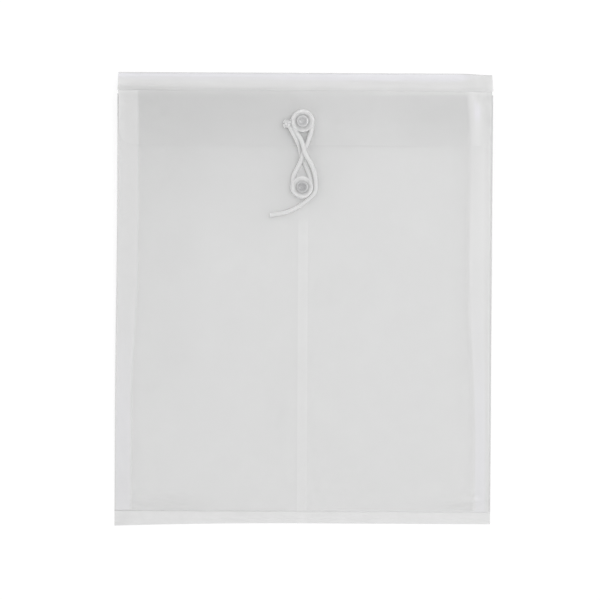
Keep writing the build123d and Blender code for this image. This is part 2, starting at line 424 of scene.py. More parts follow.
knot_reach = spool_edge + rest_gap + knot_radius
knot_place = turned(knot_reach, 0, knot_angle)
knot_y = upper_y + knot_place[1]
knot_centre = Vector(
    (button_offset + knot_place[0], knot_y, flap_surface(knot_y) + rest_gap + knot_radius)
)
knot_span = math.hypot(knot_place[0], knot_y - lower_y)
knot_slant = math.atan2(-knot_place[0], knot_y - lower_y)
first_slant = math.degrees(knot_slant + math.asin(turn_radius / knot_span))
middle_slant = math.degrees(math.asin(2 * turn_radius / button_spacing))
last_slant = math.degrees(math.asin((turn_radius + outer_radius) / button_spacing))


def winding_route():
    """Figure eight: from the knot round the lower hub, round the upper hub and past the lower flange."""
    strand = strand_points(first_strand)
    way = Vector(strand[0]) - knot_centre
    route = [tuple(knot_centre + way.normalized() * knot_flat)] + strand
    sweep = 180 + first_slant + middle_slant
    route += turn_points(
        lower_y, turn_radius, first_slant, -sweep, turn_corners, front_surface, lower_turn_lift
    )

    # The second strand rises over the first and goes round the upper hub
    route += strand_points(second_strand)
    sweep = 180 + middle_slant + last_slant
    route += turn_points(
        upper_y, turn_radius, -middle_slant, sweep, turn_corners, flap_surface, turn_lift
    )

    # The third strand passes over both and comes down outside the turn on the lower hub
    route += strand_points(third_strand)
    sweep = last_slant + 270 - tail_heading
    route += turn_points(
        lower_y, outer_radius - outer_press, last_slant, -sweep, outer_corners, front_surface, outer_lift
    )
    return route


def tail_route():
    """Loose end, lying on the front panel."""
    lying = string_radius + rest_gap
    route = []
    for x, y in tail_points:
        place_y = lower_y + y * mm
        route.append((button_offset + x * mm, place_y, front_surface(place_y) + lying))
    return route


def spline_points(name, route, least_step):
    """Points along the smooth curve that has the route as its control points."""
    data = bpy.data.curves.new(name, "CURVE")
    data.dimensions = "3D"
    data.resolution_u = 32
    spline = data.splines.new("NURBS")
    spline.points.add(len(route) - 1)
    for point, place in zip(spline.points, route):
        point.co = (*place, 1)
    spline.order_u = 3
    spline.use_endpoint_u = True
    curve = bpy.data.objects.new(name, data)
    line = bpy.data.meshes.new_from_object(curve)
    points = [vertex.co.copy() for vertex in line.vertices]
    bpy.data.meshes.remove(line)
    bpy.data.objects.remove(curve)
    bpy.data.curves.remove(data)
    kept = [points[0]]
    for point in points[1:-1]:
        if (point - kept[-1]).length > least_step and (point - points[-1]).length > least_step:
            kept.append(point)
    return kept + [points[-1]]


def ply_share(distance, angle):
    """Share of the full radius at a place on a cord of three plies laid round each other."""
    lay = 2 * math.pi * distance / ply_pitch
    return 1 - ply_depth + ply_depth * abs(math.cos(1.5 * (angle - lay)))


def twisted(radius):
    """Section of a soft cord, a little wider than it is high."""
    def section(distance, angle):
        return radius * ply_share(distance, angle) * (1 + cord_flatness * math.sin(angle) ** 2)
    return section


def flattened(distance, angle):
    """Section of the loop, which the turn above presses flat."""
    tall = loop_thickness / 2
    wide = loop_width / 2
    oval = tall * wide / math.hypot(wide * math.cos(angle), tall * math.sin(angle))
    return oval * ply_share(distance, angle)


def frayed(distance, angle):
    """Section of a cut end, which flares at its tip."""
    flare = cut_end_waist + (1 - cut_end_waist) * ease(distance, 0.6 * cut_end_length, cut_end_length)
    return twisted(string_radius)(distance, angle) * flare


def parted_string():
    """Line of the string, parted where it leaves the flap: the stretch from the knot, and the rest."""
    path = spline_points("string_line", winding_route() + tail_route(), line_step)
    leaving = next(index for index, point in enumerate(path) if point.y < parting_y)
    return path[: leaving + 1], path[leaving:]


def add_string(material, path):
    """The string: wound round both buttons, with its loose tail."""
    shape = new_shape()
    add_tube(shape, path, (0, 0, 1), twisted(string_radius), cord_sides)
    nodes = ["string_winding", "string_tail"]
    return make_piece("string", shape, material, "flap", nodes, sharp=60)


def loop_line():
    """Line of the loop drawn tight round the upper hub, from the knot and back to it."""
    seat = Vector((button_offset, upper_y, flap_surface(upper_y)))
    along = Vector((0, math.cos(slope), math.sin(slope)))
    level = loop_bottom + loop_thickness / 2
    loop_radius = hub_radius + string_clearance + loop_width / 2
    leaving = math.degrees(math.acos(loop_radius / knot_reach))
    plan = [knot_place]
    for angle in spread(knot_angle - leaving, knot_angle + leaving - 360, 48):
        plan.append(turned(loop_radius, 0, angle))
    plan.append(knot_place)
    return [seat + Vector((x, 0, 0)) + along * y + outward * level for x, y in plan]


def overhand_line():
    """Line of the knot: an overhand knot, drawn up into a trefoil."""
    line = []
    for turn in spread(0, 2 * math.pi, 73):
        out = knot_tuck * (2.0 + math.cos(3 * turn))
        rise = 1.6 * knot_tuck * math.sin(3 * turn)
        line.append(knot_centre + Vector((out * math.cos(2 * turn), out * math.sin(2 * turn), rise)))
    return line


def cut_end_line(heading):
    """Line of a cut end, drooping from the knot."""
    x, y = turned(1, 0, heading)
    line = []
    for share in spread(0, 1, 14):
        reach = cut_end_length * share
        line.append(knot_centre + Vector((x * reach, y * reach, -cut_end_droop * share * share)))
    return line


def add_knot(material, stretch):
    """Loop round the upper hub, its knot, the two cut ends and the stretch down to the flap's edge."""
    shape = new_shape()
    add_tube(shape, stretch, (0, 0, 1), twisted(string_radius), cord_sides)
    add_tube(shape, loop_line(), outward, flattened, cord_sides)
    add_tube(shape, overhand_line(), (0, 0, 1), twisted(knot_cord), knot_sides)
    for heading in cut_end_angles:
        add_tube(shape, cut_end_line(heading), (0, 0, 1), frayed, knot_sides)
    return make_piece("tied_knot", shape, material, "flap", ["string_knot"], sharp=60)


# Materials

def grey(level):
    """Neutral colour."""
    return (level, level, level, 1)


def new_material(name):
    """Material with its node tree and its shader."""
    material = bpy.data.materials.new(name)
    material.use_nodes = True
    tree = material.node_tree
    return material, tree.nodes, tree.links, tree.nodes["Principled BSDF"]


def add_noise(nodes, links, scale, detail):
    """Value of a noise in the piece's own coordinates."""
    coordinates = nodes.new("ShaderNodeTexCoord")
    texture = nodes.new("ShaderNodeTexNoise")
    texture.inputs["Scale"].default_value = scale
    texture.inputs["Detail"].default_value = detail
    links.new(coordinates.outputs["Object"], texture.inputs["Vector"])
    return texture.outputs["Fac"]


def add_wave(nodes, links, kind, direction, scale, distortion):
    """Value of straight bands or rings in the piece's own coordinates."""
    coordinates = nodes.new("ShaderNodeTexCoord")
    texture = nodes.new("ShaderNodeTexWave")
    texture.wave_type = kind
    texture.bands_direction = direction
    texture.rings_direction = direction
    texture.inputs["Scale"].default_value = scale
    texture.inputs["Distortion"].default_value = distortion
    links.new(coordinates.outputs["Object"], texture.inputs["Vector"])
    return texture.outputs["Fac"]


def add_range(nodes, links, source, low, high):
    """Value stretched from 0..1 to low..high."""
    stretch = nodes.new("ShaderNodeMapRange")
    stretch.inputs["To Min"].default_value = low
    stretch.inputs["To Max"].default_value = high
    links.new(source, stretch.inputs["Value"])
    return stretch.outputs["Result"]


def add_frost_and_painted_light(nodes, links, cloud, mottle):
    """How frosted a film is with its painted light and shade, or a metal's painted shine: the shape's own
    value with a little mottling.
    """
    frost_and_painted_light = nodes.new("ShaderNodeAttribute")
    frost_and_painted_light.attribute_name = "frost_and_painted_light"
    total = nodes.new("ShaderNodeMath")
    total.operation = "ADD"
    links.new(frost_and_painted_light.outputs["Fac"], total.inputs[0])
    links.new(add_range(nodes, links, cloud, -mottle, mottle), total.inputs[1])
    return total.outputs["Value"]


def add_ramp(nodes, links, source, stops):
    """Colour ramp with its stops."""
    ramp = nodes.new("ShaderNodeValToRGB")
    elements = ramp.color_ramp.elements
    elements[0].position, elements[0].color = stops[0]
    elements[1].position, elements[1].color = stops[-1]
    for position, colour in stops[1:-1]:
        element = elements.new(position)
        element.color = colour
    links.new(source, ramp.inputs["Fac"])
    return ramp.outputs["Color"]


def add_bump(nodes, links, shader, height_source, strength, distance):
    """Relief on the shader's normal."""
    bump = nodes.new("ShaderNodeBump")
    bump.inputs["Strength"].default_value = strength
    bump.inputs["Distance"].default_value = distance
    links.new(height_source, bump.inputs["Height"])
    links.new(bump.outputs["Normal"], shader.inputs["Normal"])


def film_material():
    """Frosted film: clear where it is pressed close, paler where layers back it, and carrying the painted
    light and shade of its shape's values.
    """
    material, nodes, links, shader = new_material("frosted_film")
    cloud = add_noise(nodes, links, 30, 3)
    total = add_frost_and_painted_light(nodes, links, cloud, 0.03)
    # The palest stops are tinted lavender, the colour of the painted highlights
    tones = [
        (0.0, grey(0.43)),
        (0.5, grey(0.845)),
        (0.74, grey(0.895)),
        (0.84, (0.915, 0.91, 0.94, 1)),
        (1.0, (0.955, 0.95, 0.985, 1)),
    ]
    links.new(add_ramp(nodes, links, total, tones), shader.inputs["Base Color"])
    covers = [(0.0, grey(0.55)), (0.5, grey(0.4)), (1.0, grey(0.8))]
    cover = nodes.new("ShaderNodeMath")
    cover.operation = "MULTIPLY"
    clear = nodes.new("ShaderNodeAttribute")
    clear.attribute_name = "clear"
    links.new(add_ramp(nodes, links, total, covers), cover.inputs[0])
    links.new(add_range(nodes, links, clear.outputs["Fac"], 1.0, 0.0), cover.inputs[1])
    links.new(cover.outputs["Value"], shader.inputs["Alpha"])
    links.new(add_range(nodes, links, cloud, 0.26, 0.42), shader.inputs["Roughness"])
    grain = add_noise(nodes, links, 1400, 2)
    add_bump(nodes, links, shader, grain, 0.12, 0.1 * mm)
    return material


def weld_material():
    """Fused film: whiter and denser, with the fine press marks of the sealing bar."""
    material, nodes, links, shader = new_material("fused_weld")
    bars = add_wave(nodes, links, "BANDS", "Y", 190, 1.5)
    cloud = add_noise(nodes, links, 60, 3)
    frost_and_painted_light = add_frost_and_painted_light(nodes, links, cloud, 0.08)
    tones = [(0.0, grey(0.6)), (0.5, grey(0.87)), (1.0, grey(0.95))]
    links.new(add_ramp(nodes, links, frost_and_painted_light, tones), shader.inputs["Base Color"])
    links.new(add_range(nodes, links, cloud, 0.6, 0.75), shader.inputs["Alpha"])
    links.new(add_range(nodes, links, bars, 0.28, 0.4), shader.inputs["Roughness"])
    add_bump(nodes, links, shader, bars, 0.2, 0.1 * mm)
    return material


def button_material():
    """Clear moulded plastic with faint flow marks."""
    material, nodes, links, shader = new_material("clear_button")
    flow = add_noise(nodes, links, 350, 2)
    tones = [(0.3, grey(0.9)), (0.7, grey(0.96))]
    links.new(add_ramp(nodes, links, flow, tones), shader.inputs["Base Color"])
    links.new(add_range(nodes, links, flow, 0.3, 0.4), shader.inputs["Alpha"])
    links.new(add_range(nodes, links, flow, 0.1, 0.2), shader.inputs["Roughness"])
    add_bump(nodes, links, shader, flow, 0.08, 0.1 * mm)
    return material


def metal_material(name, dark, pale, painted_shine):
    """Satin metal with fine turned rings and small stains; with painted shine it is as bright as its shape
    says, which is painted light.
    """
    material, nodes, links, shader = new_material(name)
    rings = add_wave(nodes, links, "RINGS", "Z", 900, 0.6)
    stains = add_noise(nodes, links, 700, 3)
    if painted_shine:
        tones = [(0.0, dark), (1.0, pale)]
        source = add_frost_and_painted_light(nodes, links, stains, 0.3)
    else:
        tones = [(0.3, dark), (0.7, pale)]
        source = stains
    links.new(add_ramp(nodes, links, source, tones), shader.inputs["Base Color"])
    shader.inputs["Metallic"].default_value = 1.0
    links.new(add_range(nodes, links, rings, 0.2, 0.36), shader.inputs["Roughness"])
    add_bump(nodes, links, shader, rings, 0.15, 0.05 * mm)
    return material


def string_material():
    """White twisted cord with fine fibres."""
    material, nodes, links, shader = new_material("white_cord")
    fibres = add_noise(nodes, links, 2600, 3)
    tones = [(0.25, grey(0.66)), (0.75, grey(0.78))]
    links.new(add_ramp(nodes, links, fibres, tones), shader.inputs["Base Color"])
    links.new(add_range(nodes, links, fibres, 0.7, 0.9), shader.inputs["Roughness"])
    shader.inputs["Subsurface Weight"].default_value = 1.0
    shader.inputs["Subsurface Radius"].default_value = (1.0, 1.0, 1.0)
    shader.inputs["Subsurface Scale"].default_value = 1.0 * mm
    shader.inputs["Sheen Weight"].default_value = 0.8
    shader.inputs["Sheen Roughness"].default_value = 0.5
    add_bump(nodes, links, shader, fibres, 0.4, 0.08 * mm)
    return material


# Film pieces

def pleat_band(side, y):
    """Width of the band where the side pleat backs the film, wider towards the mouth."""
    if side < 0:
        return left_band + left_band_gain * ease(y, -66 * mm, 20 * mm)
    band = right_band + right_band_gain * ease(y, -95 * mm, 20 * mm)
    return band + right_mouth_gain * ease(y, 112 * mm, 136 * mm)


def pleat_fade(side):
    """Width over which the whitening of a pleat band fades into the plain film."""
    return left_fade if side < 0 else right_fade


def bottom_line(x):
    """Bottom edge: drawn up a little by the weld, and falling away to the left corner."""
    leftward = max(0.0, -x / (width / 2))
    return -height / 2 + bottom_draw - bottom_corner_drop * leftward**2


def top_line(x):
    """How far the top fold runs off true: a hair high, with a right corner that droops."""
    return top_rise - top_droop * ease(x, 104 * mm, 120 * mm)


def leaned(point):
    """Point of a film, moved as the left side leans: in at the top and out at the bottom."""
    lean = lean_in - lean_swing * (1 - ease(point.y, -85 * mm, 75 * mm))
    return point + Vector((lean * max(0.0, -point.x / (width / 2)), 0, 0))


def film_columns():
    """Places across the film: a zone and a share of it, close together beside folds and over the seam."""
    band = (0.0, 0.04, 0.1, 0.2, 0.35, 0.5, 0.62, 0.7, 0.77, 0.83, 0.88, 0.94)
    places = [("left_band", share) for share in band]
    places += [("left_middle", share) for share in spread(0.0, 0.99, 40)]
    places += [("seam", share) for share in (-seam_margin, 0.0, 0.33, 0.67, 1.0, 1.0 + seam_margin)]
    places += [("right_middle", share) for share in reversed(spread(0.0, 0.99, 40))]
    places += [("right_band", share) for share in reversed(band)]
    return places


def column_x(place, y, half):
    """Place across the film at one height, for a sheet of some half width."""
    zone, share = place
    left = -width / 2 + pleat_band(-1, y) + pleat_fade(-1) / 2
    right = width / 2 - pleat_band(1, y) - pleat_fade(1) / 2
    if zone == "left_band":
        return -half + share * (left + half)
    if zone == "left_middle":
        return left + share * (seam_left - seam_margin * seam_lap - left)
    if zone == "seam":
        return seam_left + share * seam_lap
    if zone == "right_middle":
        return right + share * (seam_right + seam_margin * seam_lap - right)
    return half - share * (half - right)


def band_share(x, y):
    """0 on the plain film, and from 0 to 1 across a pleat band, from its inner fold to the side fold."""
    band = pleat_band(1 if x > 0 else -1, y)
    return max(0.0, 1 - (width / 2 - abs(x)) / band)


def over_pleat(x, y):
    """1 over a side pleat and 0 on the plain film, with a soft step between."""
    side = 1 if x > 0 else -1
    reach = pleat_fade(side) / 2
    edge = pleat_band(side, y)
    return 1 - ease(width / 2 - abs(x), edge - reach, edge + reach)


def side_roll(x, y):
    """Soft ridge of the film over a side pleat: 1 at the pleat's inner fold, -1 at the side fold."""
    inward = width / 2 - abs(x)
    rise = 1 - ease(inward, 14 * mm, 26 * mm)
    return rise * math.cos(math.pi * band_share(x, y))


def painted_tie_light(x, y):
    """1 under the string and the buttons, where painted light pales the film to lessen their shadows, and 0
    away from them.
    """
    apart = abs(y - (upper_y + lower_y) / 2)
    reach = tie_light_reach + tie_light_gain * ease(apart, 6 * mm, button_spacing / 2)
    beyond = max(apart - button_spacing / 2, 0.0)
    return 1 - ease(math.hypot(x - button_offset, beyond), reach - tie_light_fade, reach + tie_light_fade)


def painted_ridge_highlight(x, down):
    """Painted highlight on the flap along its ridge over the right pleat, strongest across from the button.
    """
    along = 0.06 + 0.18 * bell(down, 13 * mm, 8 * mm)
    widening = ease(down, 2 * mm, 12 * mm)
    centre = (110.6 + 3.0 * widening) * mm
    reach = (2.2 + 1.2 * widening) * mm
    return along * bell(x, centre, reach)


def front_relief(x, y):
    """How far the front film swells from its plane: slack, puckers above the weld and side folds."""
    slack = 0.25 * wave(x, y, 55 * mm, 1.0) + 0.1 * wave(x, y, 21 * mm, 4.0)
    above = y - hinge_y
    left = ease(-x, 60 * mm, 95 * mm) * (1 - ease(-x, 108 * mm, 118 * mm))
    right = ease(x, 85 * mm, 100 * mm) * (1 - ease(x, 112 * mm, 119 * mm))
    fade = ease(above, 0.5 * mm, 3 * mm) * (1 - ease(above, 5 * mm, 16 * mm))
    pucker = 0.45 * math.sin((above - 0.12 * abs(x)) / (1.25 * mm)) * fade * max(left, right)
    roll = (0.5 if x > 0 else 0.3) * side_roll(x, y) * ease(above, 0, 200 * mm)
    fold = -0.3 * (1 - ease(width / 2 - abs(x), 0, 2.0 * mm))
    held = ease(above, 0, 6 * mm)
    return ((slack + roll + fold) * held + pucker) * mm


def front_frost_and_painted_light(x, y):
    """Frost of the front film, paler over pleats and seam; painted shade greys it below the flap, on the
    left, at the puckers above the weld and along the side folds, and painted light pales it round the tie.
    """
    below = flap_edge_y - y
    above = y - hinge_y
    right = ease(x, -40 * mm, 60 * mm)
    near_flap = 1 - ease(below, 0, (80 - 25 * right) * mm)
    low = 1 - ease(y, -100 * mm, 20 * mm)
    # Painted shade: greyer on the left, below the flap and at the puckers above the weld
    left_painted_shade = (0.03 - 0.02 * low) * (1 - ease(x, -82 * mm, -58 * mm))
    flap_painted_shade = (0.06 - 0.05 * right) * near_flap
    puckers = bell(x, -82 * mm, 26 * mm) + 0.6 * bell(x, 98 * mm, 14 * mm)
    pucker_painted_shade = 0.05 * puckers * (1 - ease(above, 5 * mm, 12 * mm))
    # Painted light round the tie, lessening the shadows of the string and buttons
    tie_painted_light = 0.06 * painted_tie_light(x, y)
    weld_white = 0.2 * right * (1 - ease(above, 0.4 * mm, 1.4 * mm))
    seam_white = 0.045 * ease(below, 42 * mm, 60 * mm) if seam_left <= x <= seam_right else 0.0
    value = plain_frost - left_painted_shade - flap_painted_shade - pucker_painted_shade + tie_painted_light + weld_white + seam_white
    across = band_share(x, y)
    # Over the pleats: painted shade along the side folds and below the flap
    if x < 0:
        fold_painted_shade = 0.2 * ease(across, 0.93, 1.0)
        band = 0.73 + 0.06 * low - 0.03 * near_flap - fold_painted_shade
    else:
        fold_painted_shade = 0.09 * ease(across, 0.6, 0.86) + 0.3 * ease(across, 0.87, 0.98)
        band = 0.74 + 0.06 * low - 0.08 * near_flap - fold_painted_shade
    return value + (band - value) * over_pleat(x, y)


def hinge_frost_and_painted_shade(x):
    """Tone of the bead on the weld: painted shade greyest at its left end, and uneven along it."""
    value = 0.42 + 0.24 * ease(x, -116 * mm, -72 * mm) + 0.12 * ease(x, -20 * mm, 40 * mm)
    return value + 0.06 * wave(x, 0, 24 * mm, 31.0)


def add_fold_bead(shape, y, z, half, frost_and_painted_light, line=lambda x: 0.0):
    """Rolled bead of a fold, along X; line gives how far it runs off true."""
    path = [leaned(Vector((x, y + line(x), z))) for x in spread(-half, half, 61)]
    add_tube(
        shape, path, (0, 0, 1), lambda distance, angle: fold_bead, bead_sides, lambda point: frost_and_painted_light(point.x)
    )


def add_front_film(material):
    """Front film with its fold bead on the weld."""
    grid = []
    for up in spread(0, 26 * mm, 34) + spread(29 * mm, mouth_y - hinge_y, 64):
        y = hinge_y + up
        row = []
        for place in film_columns():
            x = column_x(place, y, width / 2)
            z = hinge_z + up * math.tan(slope) + front_relief(x, y)
            row.append((Vector((x, y, z)), front_frost_and_painted_light(x, y), 0.0))
        grid.append(row)
    shape = new_sheet(grid, film)
    add_fold_bead(shape, hinge_y, hinge_z, width / 2, hinge_frost_and_painted_shade)
    make_piece("front_film", shape, material, "pocket_front", ["front_panel"])


def add_back_film(material, name, node, is_right):
    """Half of the back film; the right half steps up over the left one along the lap of the seam."""
    tongue_end = seam_right + 0.5 * mm
    if is_right:
        xs = spread(seam_left, seam_right + layer_gap, 6)
        xs += spread(tongue_end, seam_right + 1.4 * mm, 4)
        xs += spread(seam_right + 4 * mm, width / 2, 30)
    else:
        xs = spread(-width / 2, seam_left - layer_gap, 32) + spread(seam_left, seam_right, 4)
    grid = []
    for share in spread(0, 1, 60):
        row = []
        for x in xs:
            low = bottom_line(x)
            high = height / 2 + top_line(x) + back_proud
            level = film / 2
            if is_right and x < tongue_end:
                low = weld_edge + layer_gap
                high = fold_y - fold_bead - layer_gap
            if is_right:
                level += film * (1 - ease(x, seam_right + layer_gap, seam_right + layer_gap + seam_step))
            on_lap = seam_left <= x <= seam_right + layer_gap
            point = Vector((x, low + (high - low) * share, level))
            row.append((point, lap_frost if on_lap else plain_frost, lap_clear if on_lap else 0.0))
        grid.append(row)
    shape = new_sheet(grid, film)
    make_piece(name, shape, material, "pocket_back", [node])


def add_weld(material):
    """Fused strip along the bottom, with press lines and a slightly uneven top."""
    thick = weld_top - film
    grid = []
    for share in (0.0, 0.03, 0.1, 0.2, 0.3, 0.36, 0.42, 0.5, 0.6, 0.68, 0.74, 0.8, 0.9, 0.97, 1.0):
        row = []
        for x in spread(-width / 2, width / 2, 121):
            low = bottom_line(x)
            y = low + (weld_edge - low) * share
            press = press_depth * sum(bell(share, line, press_reach) for line in press_lines)
            swell = 0.04 * mm * wave(x, y, 9 * mm, 7.0)
            edge = (0.12 * (1 - ease(share, 0.0, 0.06)) + 0.1 * ease(share, 0.95, 1.0)) * mm
            point = Vector((x, y, film + thick / 2 + swell - press - edge))
            frost_and_painted_light = 0.48 + 0.1 * ease(x, -115 * mm, -80 * mm) + 0.05 * ease(x, 60 * mm, 110 * mm)
            row.append((point, frost_and_painted_light, 0.0))
        grid.append(row)
    shape = new_sheet(grid, thick - weld_play)
    make_piece("weld_strip", shape, material, "pocket_back", ["bottom_weld"])


def pleat_section(low, high, reach):
    """Pleat from the back round its inner fold to the front: reach inward, level and clearness."""
    bend = (film + layer_gap) / 2
    middle = (low + high) / 2
    back_half = []
    front_half = []
    for share in pleat_shares:
        clear = pleat_clear * ease(share, 0.8, 1.0)
        back_half.append((reach * share, low + (middle - bend - low) * share, clear))
        front_half.append((reach * share, high + (middle + bend - high) * share, clear))
    inner_fold = []
    for angle in (-60, -30, 0, 30, 60):
        turn = math.radians(angle)
        inward = reach + bend * math.cos(turn) - bend
        inner_fold.append((inward, middle + bend * math.sin(turn), pleat_clear))
    return back_half + inner_fold + front_half[::-1]


def add_pleat(material, name, side, nodes):
    """Side pleat folded in between the back and the front film."""
    low = back_top + layer_gap + film / 2
    grid = []
    for y in spread(hinge_y + fold_bead + layer_gap, mouth_y, 60):
        high = front_surface(y) + front_relief(side * width / 2, y) - 1.5 * film - layer_gap
        row = []
        for inward, level, clear in pleat_section(low, high, pleat_band(side, y) + pleat_tuck):
            row.append((Vector((side * (width / 2 - inward), y, level)), pleat_frost, clear))
        if side > 0:
            row.reverse()
        grid.append(row)
    shape = new_sheet(grid, film)
    piece = make_piece(name, shape, material, None, nodes)
    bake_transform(piece)


def spine_frost_and_painted_light(x, share):
    """Frost of the spine, with uneven streaks along it; a painted highlight along the top fold, painted
    light to the right, and painted shade towards the score and on the left.
    """
    right = ease(x, -60 * mm, 80 * mm)
    left = 1 - ease(x, -120 * mm, -40 * mm)
    end = ease(x, 100 * mm, 112 * mm)
    # Painted shade towards the score and on the left, painted light to the right, and a painted highlight
    # along the top fold
    score_painted_shade = 0.24 * share + 0.14 * (1 - right) * ease(share, 0.7, 1.0)
    left_painted_shade = 0.13 * left * ease(share, 0.5, 0.85)
    end_grey = end * (0.05 + 0.1 * (1 - ease(share, 0.3, 0.6))) + 0.1 * ease(x, 114 * mm, 120 * mm)
    right_painted_light = 0.07 * right * (1 - ease(share, 0.3, 0.55))
    fold_painted_highlight = (0.08 - 0.05 * right) * bell(share, 0.14, 0.08)
    streaks = 0.04 * wave(x, share * 0.12, 26 * mm, 15.0)
    return 0.87 - score_painted_shade - left_painted_shade - end_grey + right_painted_light + fold_painted_highlight + streaks


def add_spine(material):
    """Strip from the top fold, with its rolled bead, up to the score."""
    along = Vector((0, -math.cos(spine_lean), math.sin(spine_lean)))
    up = Vector((0, math.sin(spine_lean), math.cos(spine_lean)))
    start = Vector((0, fold_y, fold_z))
    reach = spine_length - fold_bead - fold_gap / 5
    grid = []
    for share in reversed(spread(0, 1, 22)):
        row = []
        for x in spread(-width / 2, width / 2, 101):
            swell = (0.22 + 0.14 * wave(x, share * 0.05, 30 * mm, 12.0)) * math.sin(math.pi * share)
            across = Vector((x, top_line(x) * (1 - share), 0))
            point = start + across + along * (reach * share) + up * swell * mm
            row.append((point, spine_frost_and_painted_light(x, share), 0.0))
        grid.append(row)
    shape = new_sheet(grid, film)
    add_fold_bead(shape, fold_y, fold_z, width / 2, lambda x: top_bead_frost, top_line)
    make_piece("spine_film", shape, material, "spine", ["flap_spine"])


def flap_half_width(down):
    """Half width of the flap at a distance below the score: its free corners are round."""
    half = width / 2 - flap_inset
    left = max(0.0, flap_corner - (flap_length - down))
    return half - (flap_corner - math.sqrt(max(flap_corner**2 - left**2, 0.0)))


def flap_level(x, y, down):
    """Height of the flap's middle: held up round its button, and lying on the front film away from it."""
    held = flap_surface(y) - film / 2 + 0.16 * wave(x, y, 40 * mm, 21.0) * ease(down, 0, 12 * mm) * mm
    lying = front_surface(y) + front_relief(x, y) + film / 2 + layer_gap
    apart = math.hypot(x - button_offset, y - upper_y)
    sag = ease(down, 6 * mm, 24 * mm) * ease(apart, 7 * mm, 20 * mm)
    return held + sag * (lying - held)


def flap_frost_and_painted_light(x, y, down):
    """Frost of the flap, paler over the pleats; painted shade greys it at the score and on the left,
    painted light pales it round the tie, and a painted highlight runs along the ridge of the right pleat.
    """
    right = ease(x, -60 * mm, 60 * mm)
    left = 1 - ease(x, -110 * mm, -60 * mm)
    # Painted shade: greyest at the score and on the left, fading towards the free edge
    left_painted_shade = 0.03 * left * (1 - ease(down, 3 * mm, 20 * mm))
    edge_white = 0.05 * ease(down, 0, flap_length)
    middle_white = 0.05 * bell(x, 25 * mm, 45 * mm)
    score_white = (0.01 + 0.1 * ease(x, 10 * mm, 90 * mm)) * (1 - ease(down, 0.5 * mm, 5 * mm))
    # Painted light round the tie, lessening the shadows of the string and buttons
    tie_painted_light = 0.1 * painted_tie_light(x, y)
    value = 0.41 + 0.03 * right - left_painted_shade + edge_white + middle_white + score_white + tie_painted_light
    across = band_share(x, y)
    if x < 0:
        # Painted shade at the score
        score_painted_shade = 0.05 * (1 - ease(down, 2 * mm, 8 * mm))
        band = 0.65 + 0.06 * ease(down, 0, 25 * mm) + 0.02 * ease(across, 0.6, 0.75) - score_painted_shade
    else:
        # Right band: painted shade at the score and a painted highlight along the pleat ridge
        score_painted_shade = 0.05 * (1 - ease(down, 2 * mm, 6 * mm)) * ease(across, 0.2, 0.5)
        corner_grey = 0.12 * (1 - ease(down, 3 * mm, 9 * mm)) * ease(across, 0.65, 0.95)
        band = 0.64 - 0.08 * ease(across, 0.55, 0.9) + painted_ridge_highlight(x, down) - score_painted_shade - corner_grey
    return value + (band - value) * over_pleat(x, y)


def score_frost(x):
    """Whitening of the bead on the score: palest to the right, and dull at the right corner."""
    value = 0.45 + 0.12 * ease(x, -60 * mm, 80 * mm) + 0.1 * ease(x, 100 * mm, 112 * mm)
    value -= 0.15 * ease(x, 117 * mm, 121 * mm)
    return value + 0.08 * (1 - ease(x, -112 * mm, -106 * mm))


def add_flap(material):
    """Flap with its bead on the score."""
    downs = [0.0] + spread(fold_bead, flap_length - flap_corner, 30)
    for angle in spread(6, 90, 15):
        downs.append(flap_length - flap_corner * (1 - math.sin(math.radians(angle))))
    grid = []
    for down in reversed(downs):
        y = score_y - down * math.cos(slope)
        row = []
        for place in film_columns():
            x = column_x(place, y, flap_half_width(down))
            row.append((Vector((x, y, flap_level(x, y, down))), flap_frost_and_painted_light(x, y, down), 0.0))
        grid.append(row)
    shape = new_sheet(grid, film)
    half = width / 2 - flap_inset
    add_fold_bead(shape, score_y, score_z, half, score_frost)
    make_piece("flap_film", shape, material, "flap", ["flap_panel"])


# Buttons and rivets

def arc(radius, level, size, start, end, steps=5):
    """Rounded corner of a profile."""
    points = []
    for angle in spread(start, end, steps):
        turn = math.radians(angle)
        points.append((radius + size * math.cos(turn), level + size * math.sin(turn)))
    return points


def seat_matrix(y, surface):
    """Place of a button on the film: its own Z axis points out of the film."""
    return Matrix.Translation((button_offset, y, surface(y))) @ Matrix.Rotation(slope, 4, "X")


def add_button(material, name, node, body, seat):
    """Spool: a hub that the string winds on and a dished flange with a raised rim."""
    bore = shank_radius + running_clearance
    blend = 0.3 * mm
    rim = 0.1 * mm
    low = running_clearance
    profile = [(bore, low)]
    profile += arc(hub_radius - blend, low + blend, blend, -90, 0)
    profile += arc(hub_radius + blend, flange_lift - blend, blend, 180, 90)
    profile += arc(flange_radius - flange_edge, flange_lift + flange_edge, flange_edge, -90, 0)
    profile += arc(flange_radius - flange_edge, flange_top - flange_edge, flange_edge, 0, 90)
    profile += [
        (flange_radius - 3 * flange_edge, flange_top - rim),
        (head_radius + flange_edge, flange_top - rim),
        (head_radius, flange_top),
        (bore, flange_top),
    ]
    shape = new_lathe(profile, button_segments)
    piece = make_piece(name, shape, material, None, [node])
    piece.matrix_world = seat
    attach(piece, body)


